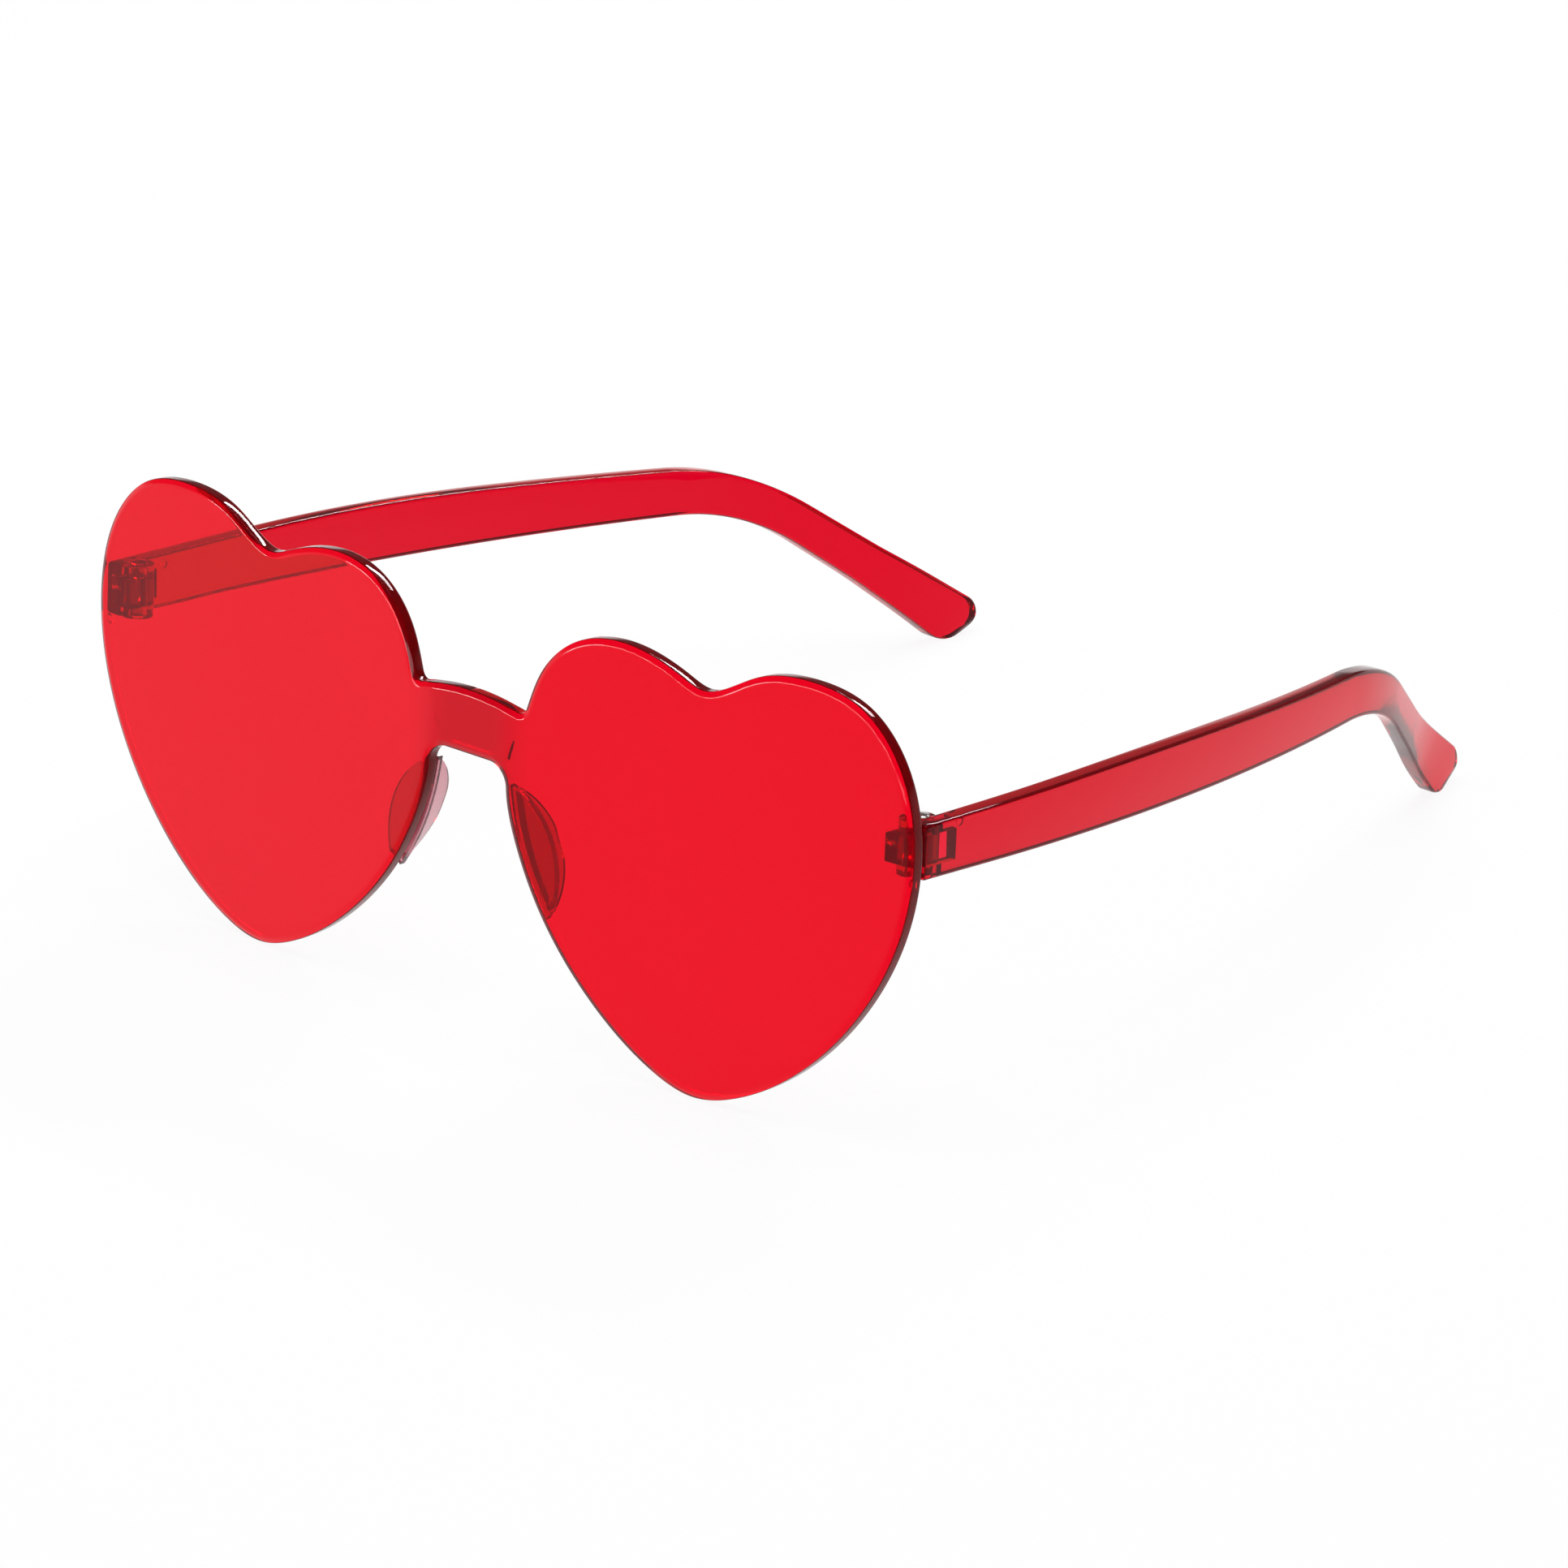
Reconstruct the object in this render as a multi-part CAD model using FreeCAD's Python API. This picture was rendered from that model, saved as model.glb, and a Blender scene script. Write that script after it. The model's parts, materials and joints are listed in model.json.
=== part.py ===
"""Heart shaped sunglasses: a one-piece tinted front, two folding temples and screwed plastic hinges.

All sizes are in millimetres. The glasses stand open on a table, on the two heart points and the two
temple tips, so the front leans back a little. +X is to the right of someone who faces the front, +Y
runs back along the open temples and +Z is up. The origin is on the table, under the middle of it all.

The pieces are first drawn with the front upright: X and Z lie in the sheet, Z is counted from the heart
points, and Y from the front face of the bridge. The last step leans them back and sets them down.
"""

import FreeCAD, Part
import math
import os

Vector = FreeCAD.Vector
ORIGIN = Vector(0, 0, 0)
ACROSS = Vector(1, 0, 0)
BACK = Vector(0, 1, 0)
UP = Vector(0, 0, 1)

# Front sheet: two hearts and the bridge between them
lens_width = 66.4
lens_height = 57.8
bridge_width = 14.0
sheet_thickness = 2.0
edge_round = 0.4
wrap_angle = 3.55
fold_inset = 0.4
fold_radius = 20.0
bridge_top = 43.9
bridge_height = 8.4
bridge_crown = 3.2
bridge_top_fillet = 1.2
bridge_bottom_fillet = 3.0

# One heart, from its point round by the outer side, as shares of the lens width and height
heart_shares = [
    (0.487, 0.000), (0.595, 0.026), (0.752, 0.133), (0.899, 0.317), (0.982, 0.520), (1.000, 0.684),
    (0.962, 0.859), (0.866, 0.970), (0.745, 1.000), (0.610, 0.976), (0.532, 0.930), (0.480, 0.913),
    (0.428, 0.930), (0.271, 0.968), (0.164, 0.940), (0.078, 0.848), (0.036, 0.727), (0.000, 0.597),
    (0.030, 0.442), (0.111, 0.282), (0.240, 0.133), (0.392, 0.028),
]

# Nose pads: a half-moon foot on the back of the sheet, with a curved fin along the nose side
pad_edge_shares = [(0.002, 0.572), (0.031, 0.442), (0.106, 0.290)]
pad_inset = 0.4
pad_width = 5.2
pad_foot_thickness = 0.9
pad_wall = 1.1
pad_fin_height = 3.8
pad_fin_peak_share = 0.38
pad_splay_angle = 22.0

# Temples, as seen from the side: the bar, the ear bend, the waist behind it and the paddle tip
temple_thickness = 2.7
temple_base = 35.9
temple_hinge_depth = 7.1
temple_crown_depth = 8.1
temple_bend_depth = 6.1
temple_crown_reach = 46.0
temple_bend_reach = 101.7
waist_run = 15.2
waist_drop = 11.2
waist_depth = 5.6
waist_slope_angle = 37.2
tip_run = 27.9
tip_drop = 21.5
tip_length = 9.2
tip_rise = 3.1
crown_radius = 600.0
bend_upper_radius = 37.0
bend_lower_radius = 30.0
waist_radius = 75.0
tip_upper_radius = 2.8
tip_lower_radius = 4.2
temple_edge_round = 0.5

# Temples, as seen from above: they bow in, curl further in at the bend and turn back a little at the tip
bow_place_share = 0.508
bow_inset = 13.7
turn_run = 23.3
turn_inset = 11.9
tip_inset = 3.2
bow_radius = 300.0
curl_radius = 80.0
turn_radius = 35.0

# Hinges: a lug on the sheet between two knuckles on the temple, held by a screw
temple_flush_step = 0.1
temple_end_gap = 0.3
hinge_inset = 3.3
hinge_setback = 3.0
knuckle_radius = 2.0
lug_height = 3.7
knuckle_gap = 0.12
barrel_clearance = 0.15
slot_run = 3.6
screw_radius = 0.7
screw_clearance = 0.05
screw_head_radius = 1.15
screw_head_height = 0.6
screw_head_recess = 0.35
screw_slot_width = 0.35
screw_slot_depth = 0.25
screw_end_recess = 0.2

# Cuts run past the faces that they open by this much
overrun = 5.0

# An edge counts as straight along a direction when it makes this share of its length that way
straight_share = 0.999

# Rounded corners take up at most this share of a straight run between them
arc_room_share = 0.98

# Measures that follow from the sizes above
lens_inner = bridge_width / 2
lens_outer = lens_inner + lens_width
fold_half_width = lens_inner - fold_inset
wrap = math.radians(wrap_angle)
wrapped_outer = fold_half_width + (lens_outer - fold_half_width) * math.cos(wrap)
temple_outer = wrapped_outer - temple_flush_step
temple_middle = temple_outer - temple_thickness / 2
hinge_x = temple_outer - hinge_inset


def sheet_back(x):
    """How far back the rear face of the wrapped sheet is at a place x from the middle."""
    return sheet_thickness / math.cos(wrap) + (x - fold_half_width) * math.tan(wrap)


hinge_y = sheet_back(hinge_x) + hinge_setback
temple_front = sheet_back(temple_outer) + temple_end_gap
temple_top = temple_base + temple_hinge_depth
lug_bottom = temple_base + (temple_hinge_depth - lug_height) / 2
slot_bottom = lug_bottom - knuckle_gap
slot_height = lug_height + 2 * knuckle_gap
barrel_pocket_radius = knuckle_radius + barrel_clearance
screw_hole_radius = screw_radius + screw_clearance


def rounded_wire(corners):
    """A closed wire of straight runs through (point, radius) corners. The runs limit the radii they meet."""
    count = len(corners)
    runs = [corners[(index + 1) % count][0] - corners[index][0] for index in range(count)]
    halves = []
    for index in range(count):
        halves.append((runs[index - 1] * -1).getAngle(runs[index]) / 2)
    setbacks = [radius / math.tan(half) for (corner, radius), half in zip(corners, halves)]
    rooms = []
    for index, run in enumerate(runs):
        wanted = setbacks[index] + setbacks[(index + 1) % count]
        rooms.append(min(1, arc_room_share * run.Length / wanted) if wanted > 0 else 1)

    edges = []
    starts = []
    ends = []
    for index, (corner, radius) in enumerate(corners):
        room = min(rooms[index - 1], rooms[index])
        to_last = (runs[index - 1] * -1).normalize()
        to_next = Vector(runs[index]).normalize()
        inward = (to_last + to_next).normalize()
        depth = radius * room * (1 / math.sin(halves[index]) - 1)
        starts.append(corner + to_last * (setbacks[index] * room))
        ends.append(corner + to_next * (setbacks[index] * room))
        if radius > 0:
            edges.append(Part.Arc(starts[-1], corner + inward * depth, ends[-1]).toShape())
    for index, end in enumerate(ends):
        edges.append(Part.LineSegment(end, starts[(index + 1) % count]).toShape())
    return Part.Wire(Part.__sortEdges__(edges))


def prism(wire, sweep):
    return Part.Face(wire).extrude(sweep)


def upright_cylinder(radius, x, y, bottom, height):
    return Part.makeCylinder(radius, height, Vector(x, y, bottom), UP)


def block(low, high):
    size = high - low
    return Part.makeBox(size.x, size.y, size.z, low)


def lens_point(share):
    across, up = share
    return Vector(lens_inner + across * lens_width, 0, up * lens_height)


def mirrored(shape):
    return shape.mirror(ORIGIN, ACROSS)


def wrapped(shape):
    """Turn a piece drawn on the flat right half of the sheet back about the fold beside the bridge."""
    turned = shape.copy()
    turned.rotate(Vector(fold_half_width, 0, 0), UP, wrap_angle)
    return turned


def is_line(edge, direction):
    """Whether an edge runs straight along a direction."""
    chord = edge.Vertexes[-1].Point - edge.Vertexes[0].Point
    return abs(chord.dot(direction)) > straight_share * edge.Length


def front_outline():
    """Both hearts and the bridge as seen from straight in front, run through from front to back."""
    squeeze = math.cos(wrap)
    places = []
    for share in heart_shares:
        flat = lens_point(share)
        places.append(Vector(fold_half_width + (flat.x - fold_half_width) * squeeze, -overrun, flat.z))
    outline = Part.BSplineCurve()
    outline.interpolate(Points=places, PeriodicFlag=True)
    run = BACK * (sheet_back(lens_outer) + 2 * overrun)
    heart = prism(Part.Wire(outline.toShape()), run)

    bridge_end = lens_inner + bridge_height
    bridge_bottom = bridge_top - bridge_height
    shoulder = bridge_top - bridge_crown
    right_shoulder = Vector(bridge_end, -overrun, shoulder)
    left_shoulder = Vector(-bridge_end, -overrun, shoulder)
    arch = Part.Arc(left_shoulder, Vector(0, -overrun, bridge_top), right_shoulder).toShape()
    below = Part.makePolygon([
        right_shoulder, Vector(bridge_end, -overrun, bridge_bottom),
        Vector(-bridge_end, -overrun, bridge_bottom), left_shoulder,
    ])
    bridge = prism(Part.Wire([arch] + below.Edges), run)
    whole = heart.fuse([mirrored(heart), bridge]).removeSplitter()

    def corners(lowest, highest):
        beside = [edge for edge in whole.Edges if abs(edge.BoundBox.Center.x) < bridge_end]
        level = [edge for edge in beside if lowest < edge.BoundBox.Center.z < highest]
        return [edge for edge in level if is_line(edge, BACK)]

    bridge_middle = bridge_top - bridge_height / 2
    whole = whole.makeFillet(bridge_top_fillet, corners(bridge_middle, lens_height))
    return whole.makeFillet(bridge_bottom_fillet, corners(0, bridge_middle))


def front_shield():
    """The outline cut to a sheet that is bent back beside the bridge, with its edges rounded."""
    half = sheet_thickness / 2
    fold = Vector(fold_half_width - half * math.tan(wrap / 2), half, 0)
    arm = Vector(math.cos(wrap), math.sin(wrap), 0) * (lens_width + overrun)
    right = [(fold, fold_radius), (fold + arm, 0)]
    left = [(Vector(-place.x, place.y, 0), radius) for place, radius in right]
    band = band_wire(left[::-1] + right, half)
    band.translate(UP * -overrun)
    sheet = front_outline().common(prism(band, UP * (lens_height + 2 * overrun)))
    rims = [edge for edge in sheet.Edges if not (is_line(edge, BACK) or is_line(edge, UP))]
    return sheet.makeFillet(edge_round, rims)


def nose_pad():
    """The right pad: a half-moon foot on the sheet's rear face and a fin that leans away from the nose."""
    seat = BACK * sheet_thickness
    top, side, bottom = [lens_point(share) + ACROSS * pad_inset + seat for share in pad_edge_shares]
    chord = bottom - top
    along = Vector(chord).normalize()
    away = along.cross(BACK)
    bulge = side + away * pad_width
    nose_edge = Part.Arc(top, side, bottom).toShape()
    lens_edge = Part.Arc(bottom, bulge, top).toShape()
    half_moon = Part.Wire([nose_edge, lens_edge])
    foot = prism(half_moon, BACK * pad_foot_thickness)

    fin_depth = pad_foot_thickness + pad_fin_height
    solid_moon = prism(half_moon, BACK * fin_depth)
    hollow = solid_moon.translated(away * pad_wall)
    peak = top + chord * pad_fin_peak_share + BACK * fin_depth
    hump_edges = [Part.Arc(top, peak, bottom).toShape(), Part.LineSegment(bottom, top).toShape()]
    hump = prism(Part.Wire(hump_edges), away * (2 * pad_width)).translated(away * -pad_width)
    fin = solid_moon.cut(hollow).common(hump)
    fin.rotate(top, along, pad_splay_angle)
    sheet_side = block(
        Vector(lens_inner - overrun, -overrun, 0), Vector(lens_outer, sheet_thickness, lens_height))
    return wrapped(foot.fuse(fin.cut(sheet_side)).removeSplitter())


def hinge_lug(front):
    """The right lug: a block bonded to the sheet's rear face, with a barrel for the screw at its end."""
    inner = Vector(hinge_x - knuckle_radius, sheet_back(hinge_x) - sheet_thickness, lug_bottom)
    outer = Vector(hinge_x + knuckle_radius, hinge_y, lug_bottom + lug_height)
    barrel = upright_cylinder(knuckle_radius, hinge_x, hinge_y, lug_bottom, lug_height)
    hole = upright_cylinder(
        screw_hole_radius, hinge_x, hinge_y, lug_bottom - overrun, lug_height + 2 * overrun)
    lug = block(inner, outer).fuse(barrel).removeSplitter().cut(hole).cut(front)
    return max(lug.Solids, key=lambda solid: solid.BoundBox.YMax)


def temple_bar():
    """The right temple's bar: its side outline, cut to the band that its plan curves along."""

    def side(reach, height):
        return Vector(0, temple_front + reach, temple_base + height)

    slope = math.radians(waist_slope_angle)
    waist_reach = temple_bend_reach + waist_run
    upper_waist_reach = waist_reach + waist_depth * math.sin(slope)
    upper_waist_drop = waist_drop - waist_depth * math.cos(slope)
    end_reach = temple_bend_reach + tip_run + tip_length
    outline = rounded_wire([
        (side(0, 0), temple_edge_round),
        (side(temple_bend_reach, 0), bend_lower_radius),
        (side(waist_reach, -waist_drop), waist_radius),
        (side(temple_bend_reach + tip_run, -tip_drop), tip_lower_radius),
        (side(end_reach, tip_rise - tip_drop), tip_upper_radius),
        (side(upper_waist_reach, -upper_waist_drop), waist_radius),
        (side(temple_bend_reach, temple_bend_depth), bend_upper_radius),
        (side(temple_crown_reach, temple_crown_depth), crown_radius),
        (side(0, temple_hinge_depth), temple_edge_round),
    ])
    profile = prism(outline, ACROSS * (lens_outer + overrun))

    start = Vector(temple_middle, temple_front - overrun, 0)
    bow = Vector(temple_middle, temple_front + bow_place_share * temple_bend_reach, 0)
    curl = Vector(temple_middle - bow_inset, temple_front + temple_bend_reach, 0)
    turn = curl + Vector(-turn_inset, turn_run, 0)
    tip = turn + Vector(-tip_inset, tip_run + tip_length - turn_run, 0)
    past_tip = tip + (tip - turn).normalize() * overrun
    route = [(start, 0), (bow, bow_radius), (curl, curl_radius), (turn, turn_radius), (past_tip, 0)]
    band = prism(band_wire(route, temple_thickness / 2), UP * (lens_height + overrun))
    bar = profile.common(band)
    return bar.makeFillet(temple_edge_round, bar.Edges)


def band_wire(route, half_width):
    """A closed wire at half_width on each side of a route of (place, bend radius) steps."""
    inner = []
    outer = []
    for index, (place, radius) in enumerate(route):
        last = route[max(index - 1, 0)][0]
        following = route[min(index + 1, len(route) - 1)][0]
        before = (place - last) if index > 0 else (following - place)
        after = (following - place) if index < len(route) - 1 else (place - last)
        left_before = UP.cross(before).normalize()
        left_after = UP.cross(after).normalize()
        miter = (left_before + left_after).normalize()
        offset = miter * (half_width / math.cos(left_before.getAngle(left_after) / 2))
        widening = half_width if before.cross(after).z > 0 else -half_width
        bends = radius > 0
        inner.append((place + offset, radius - widening if bends else 0))
        outer.append((place - offset, radius + widening if bends else 0))
    return rounded_wire(outer + inner[::-1])


def temple(bar):
    """The right temple: the bar with two knuckles, the slot for the lug and the holes for the screw."""
    knuckles = upright_cylinder(knuckle_radius, hinge_x, hinge_y, temple_base, temple_hinge_depth)
    slot = block(
        Vector(hinge_x - knuckle_radius - overrun, temple_front - overrun, slot_bottom),
        Vector(hinge_x + barrel_pocket_radius, hinge_y + slot_run, slot_bottom + slot_height))
    hole = upright_cylinder(
        screw_hole_radius, hinge_x, hinge_y, temple_base - overrun, temple_hinge_depth + 2 * overrun)
    recess = upright_cylinder(
        screw_head_radius + screw_clearance, hinge_x, hinge_y, temple_top - screw_head_recess, overrun)
    return bar.fuse(knuckles).removeSplitter().cut([slot, hole, recess])


def hinge_screw():
    """The right screw: a slotted cheese head over a plain shank."""
    seat = temple_top - screw_head_recess
    bottom = temple_base + screw_end_recess
    head = upright_cylinder(screw_head_radius, hinge_x, hinge_y, seat, screw_head_height)
    shank = upright_cylinder(screw_radius, hinge_x, hinge_y, bottom, seat - bottom)
    head_top = seat + screw_head_height
    slot_reach = screw_head_radius + overrun
    slot = block(
        Vector(hinge_x - slot_reach, hinge_y - screw_slot_width / 2, head_top - screw_slot_depth),
        Vector(hinge_x + slot_reach, hinge_y + screw_slot_width / 2, head_top + overrun))
    return head.fuse(shank).removeSplitter().cut(slot)


def leaned(shape, angle):
    tilted = shape.copy()
    tilted.rotate(ORIGIN, ACROSS, -angle)
    return tilted


def standing_lean(front, bar):
    """The lean in degrees at which heart points and temple tips are level, found in a few small steps."""
    angle = 0.0
    lean_steps = 6
    for _ in range(lean_steps):
        tip_height = leaned(bar, angle).optimalBoundingBox().ZMin
        point_height = leaned(front, angle).optimalBoundingBox().ZMin
        tip_distance = temple_front + temple_bend_reach + tip_run
        angle += math.degrees((tip_height - point_height) / tip_distance)
    return angle


def build():
    front = front_shield()
    bar = temple_bar()
    right_side = {
        "nose_pad": nose_pad(),
        "hinge_lug": hinge_lug(front),
        "temple": temple(bar),
        "hinge_screw": hinge_screw(),
    }
    pieces = {"front_shield": front}
    for name, piece in right_side.items():
        pieces[name + "_right"] = piece
        pieces[name + "_left"] = mirrored(piece)

    lean = standing_lean(front, bar)
    stood = {name: leaned(piece, lean) for name, piece in pieces.items()}
    whole = Part.makeCompound(list(stood.values())).optimalBoundingBox()
    set_down = Vector(-whole.Center.x, -whole.Center.y, -whole.ZMin)
    placed = {name: piece.translated(set_down) for name, piece in stood.items()}

    axis_place = Part.Vertex(Vector(hinge_x, hinge_y, temple_base + temple_hinge_depth / 2))
    axis_place = leaned(axis_place, lean).translated(set_down).Point
    print("lean", round(lean, 4), "set down", [round(value, 4) for value in set_down])
    print("right hinge axis through", [round(value, 4) for value in axis_place])
    return placed


def main():
    os.makedirs("parts", exist_ok=True)
    for name, piece in build().items():
        box = piece.optimalBoundingBox()
        corners = [round(value, 2) for value in (box.XMin, box.YMin, box.ZMin, box.XMax, box.YMax, box.ZMax)]
        print(name, "solids", len(piece.Solids), "valid", piece.isValid(), "box", corners)
        piece.exportStep(os.path.join("parts", name + ".step"))


main()
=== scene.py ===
# %% [markdown]
# Heart shaped sunglasses, dressed for a white studio table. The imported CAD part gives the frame: where each
# piece is, which body it moves with and where the hinges turn. The pieces below keep its sizes and add what
# a mould leaves: soft rims, a low step, pin marks and a finish. They differ from it on purpose in two
# places, and the cells there say so: the temple tips are rounder, and the nose pads sit a little nearer the
# nose.

# %% Frame
import bpy, bmesh, json, math
import numpy as np
from mathutils import Matrix, Vector, geometry


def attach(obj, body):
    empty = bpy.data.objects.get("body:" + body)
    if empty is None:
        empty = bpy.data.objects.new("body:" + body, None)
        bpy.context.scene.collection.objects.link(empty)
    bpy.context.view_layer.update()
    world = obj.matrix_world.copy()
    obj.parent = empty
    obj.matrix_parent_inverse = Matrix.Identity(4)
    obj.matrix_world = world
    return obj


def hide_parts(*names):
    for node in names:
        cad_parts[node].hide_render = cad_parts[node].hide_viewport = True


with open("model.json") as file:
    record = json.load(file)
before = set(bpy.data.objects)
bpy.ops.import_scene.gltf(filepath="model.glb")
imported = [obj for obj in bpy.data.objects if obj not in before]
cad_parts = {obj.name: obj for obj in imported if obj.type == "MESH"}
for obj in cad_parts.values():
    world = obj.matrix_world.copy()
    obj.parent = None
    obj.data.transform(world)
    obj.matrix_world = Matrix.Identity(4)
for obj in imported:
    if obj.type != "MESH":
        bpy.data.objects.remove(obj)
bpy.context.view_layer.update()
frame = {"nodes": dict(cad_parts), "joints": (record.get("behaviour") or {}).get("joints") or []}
scene = bpy.context.scene
MM = 0.001

# %% [markdown]
# The front is one sheet of plastic, and each lens bends back a little beside the bridge. Its sizes are the
# ones of the part's source, in millimetres, drawn with the front upright: X runs across from the middle, Y
# runs back from the bridge and Z runs up from the heart points.

# %% Sizes of the front
lens_width, lens_height, bridge_width = 66.4, 57.8, 14.0
sheet_thickness, wrap_angle, fold_inset, fold_radius = 2.0, 3.55, 0.4, 20.0
lens_inner = bridge_width / 2
fold_half_width = lens_inner - fold_inset
wrap = math.radians(wrap_angle)
sheet_through = sheet_thickness / math.cos(wrap)
wrapped_outer = fold_half_width + (lens_inner + lens_width - fold_half_width) * math.cos(wrap)


def sheet_back(x):
    """How far back the rear face of a lens lies at a place across."""
    return sheet_through + (x - fold_half_width) * math.tan(wrap)


print("front %.2f mm wide, its outer rear edge %.2f mm back" % (2 * wrapped_outer, sheet_back(wrapped_outer)))

# %% [markdown]
# Each temple hangs on a screw behind the outer edge of its lens. The glasses stand on the heart points and
# the temple tips, so everything leans back by a few degrees. Typing that lean in again could miss the CAD
# part's by a little, so it is read from the frame: it is the tilt of the hinge axis, and the hinge's place
# says how far the upright drawing is moved.

# %% Hinge, and the way the glasses stand
temple_thickness, temple_base, temple_hinge_depth = 2.7, 35.9, 7.1
temple_flush_step, temple_end_gap, hinge_inset, hinge_setback = 0.1, 0.3, 3.3, 3.0
temple_outer = wrapped_outer - temple_flush_step
temple_middle = temple_outer - temple_thickness / 2
temple_front = sheet_back(temple_outer) + temple_end_gap
hinge_x = temple_outer - hinge_inset
hinge_y = sheet_back(hinge_x) + hinge_setback
hinge_middle = temple_base + temple_hinge_depth / 2
right_hinge = next(joint for joint in frame["joints"] if joint["child"] == "temple_right")
lean = math.atan2(right_hinge["axis"][1], right_hinge["axis"][2])


def leaned(points):
    """Drawing places, or steps between them, turned back by the lean."""
    x, y, z = np.asarray(points, float).T
    back = y * math.cos(lean) + z * math.sin(lean)
    up = z * math.cos(lean) - y * math.sin(lean)
    return np.stack([x, back, up], 1)


moved = np.array(right_hinge["pos_m"]) - leaned([(hinge_x, hinge_y, hinge_middle)])[0] * MM


def stood(points):
    """Drawing places in millimetres as places on the table in metres."""
    return leaned(points) * MM + moved


print("lean %.3f degrees, moved by" % math.degrees(lean), [round(value / MM, 2) for value in moved], "mm")

# %% [markdown]
# A material is a small tree of shader nodes. Colours are written as hex codes, as a screen shows them, and
# one function turns them into the linear light that a renderer adds up. Another function adds a node with
# its settings and links in one call, so that a material reads like a list.

# %% Colours and nodes


def linear(code):
    """An sRGB hex colour as linear values with alpha, by the formula of the sRGB standard."""
    values = [int(code[place:place + 2], 16) / 255 for place in (1, 3, 5)]
    return [v / 12.92 if v <= 0.04045 else ((v + 0.055) / 1.055) ** 2.4 for v in values] + [1.0]


def node(tree, kind, settings=None, links=None):
    """Add a node. Settings name a property or a socket, links feed a socket from a node or its output."""
    made = tree.nodes.new(kind)
    for key, value in (settings or {}).items():
        if isinstance(key, str) and hasattr(made, key):
            setattr(made, key, value)
        else:
            made.inputs[key].default_value = value
    for key, source in (links or {}).items():
        source, output = source if isinstance(source, tuple) else (source, 0)
        tree.links.new(source.outputs[output], made.inputs[key])
    return made


def new_material(name):
    material = bpy.data.materials.new(name)
    material.use_nodes = True
    material.node_tree.nodes.clear()
    return material, material.node_tree


print("a screen's middle grey, #808080, is", round(linear("#808080")[0], 3), "in linear light")

# %% [markdown]
# The clear parts are polycarbonate, dyed in the mass and injection moulded in a polished mould. What lies
# behind shows through in red, flat faces shine, and edges are dark, because light runs a long way inside
# them. Red glass alone would colour thick and thin alike. Here the faces tint what passes them, and Volume
# Absorption takes more away with each millimetre. The mould leaves a very faint waviness, and handling an
# uneven gloss. A clean face would also mirror the white studio and veil the red. The real front hardly
# does, so its mirror is weak.

# %% Plastic of the front
polycarbonate_ior = 1.586
mould_wave_height, wear_size = 0.004, 3.0
polished, handled = 0.015, 0.05
bridge_core, bridge_fade = 3.5, 11.0


def bridge_blend(tree, spot, tint, bridge_darker_red):
    """A darker red on the bridge, in the middle of the front, fading into the tint of the lenses."""
    apart = node(tree, "ShaderNodeSeparateXYZ", {}, {0: (spot, "Object")})
    beside = node(tree, "ShaderNodeMath", {"operation": "ABSOLUTE"}, {0: (apart, "X")})
    middle = node(tree, "ShaderNodeMapRange",
                  {"interpolation_type": "SMOOTHSTEP", "From Min": bridge_core * MM,
                   "From Max": bridge_fade * MM, "To Min": 1.0, "To Max": 0.0}, {"Value": beside})
    return node(tree, "ShaderNodeMix", {"data_type": "RGBA", 6: linear(tint), 7: linear(bridge_darker_red)},
                {0: (middle, "Result")})


def clear_plastic(name, tint, losses, mirror, clear=0.94, wave_size=9.0, bridge_darker_red=None):
    """Dyed clear plastic.

    Losses are the rates at which red, green and blue fade with each millimetre inside.
    Mirror is how strongly a face reflects straight on, with 1 for clean plastic of this kind.
    Clear is the share of light that goes through, and the rest scatters at the surface.
    """
    material, tree = new_material(name)
    spot = node(tree, "ShaderNodeTexCoord")
    waves = node(tree, "ShaderNodeTexNoise", {"Scale": 1 / (wave_size * MM), "Detail": 2.0},
                 {"Vector": (spot, "Object")})
    bump = node(tree, "ShaderNodeBump", {"Strength": 1.0, "Distance": mould_wave_height * MM},
                {"Height": (waves, "Fac")})
    wear = node(tree, "ShaderNodeTexNoise", {"Scale": 1 / (wear_size * MM), "Detail": 6.0, "Roughness": 0.65},
                {"Vector": (spot, "Object")})
    gloss = node(tree, "ShaderNodeMapRange",
                 {"From Min": 0.35, "From Max": 0.75, "To Min": polished, "To Max": handled},
                 {"Value": (wear, "Fac")})
    links = {"Roughness": (gloss, "Result"), "Normal": (bump, "Normal")}
    # The bridge gets a darker red than the lenses, fading into them towards the sides
    if bridge_darker_red:
        links["Base Color"] = (bridge_blend(tree, spot, tint, bridge_darker_red), 2)
    surface = node(tree, "ShaderNodeBsdfPrincipled",
                   {"Base Color": linear(tint), "IOR": polycarbonate_ior, "Transmission Weight": clear,
                    "Specular Tint": (mirror, mirror, mirror, 1)}, links)
    most = max(losses)
    kept = [1 - loss / most for loss in losses] + [1.0]
    body = node(tree, "ShaderNodeVolumeAbsorption", {"Color": kept, "Density": most / MM})
    node(tree, "ShaderNodeOutputMaterial", {}, {"Surface": (surface, "BSDF"), "Volume": (body, "Volume")})
    return material


# The purest red: hardly any red light is lost inside. The bridge is given a darker red than the lenses
front_red = clear_plastic("Dyed clear polycarbonate, front", "#f00630", (0.014, 0.45, 0.35), mirror=0.04,
                          bridge_darker_red="#d2082a")
print(front_red.name, "made of", len(front_red.node_tree.nodes), "nodes")

# %% [markdown]
# The other clear parts are the same plastic with more or less dye, so the same function makes them. Only
# the sizes of the mould's waves, the dye and the strength of the mirror are given anew.

# %% Plastics of the temples, the pads and the hinges
# Some red fades inside too, so the long edges of the bars go dark
temple_red = clear_plastic("Dyed clear polycarbonate, temples", "#ff0c3c", (0.09, 0.45, 0.31), mirror=0.12,
                           wave_size=14.0)
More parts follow.
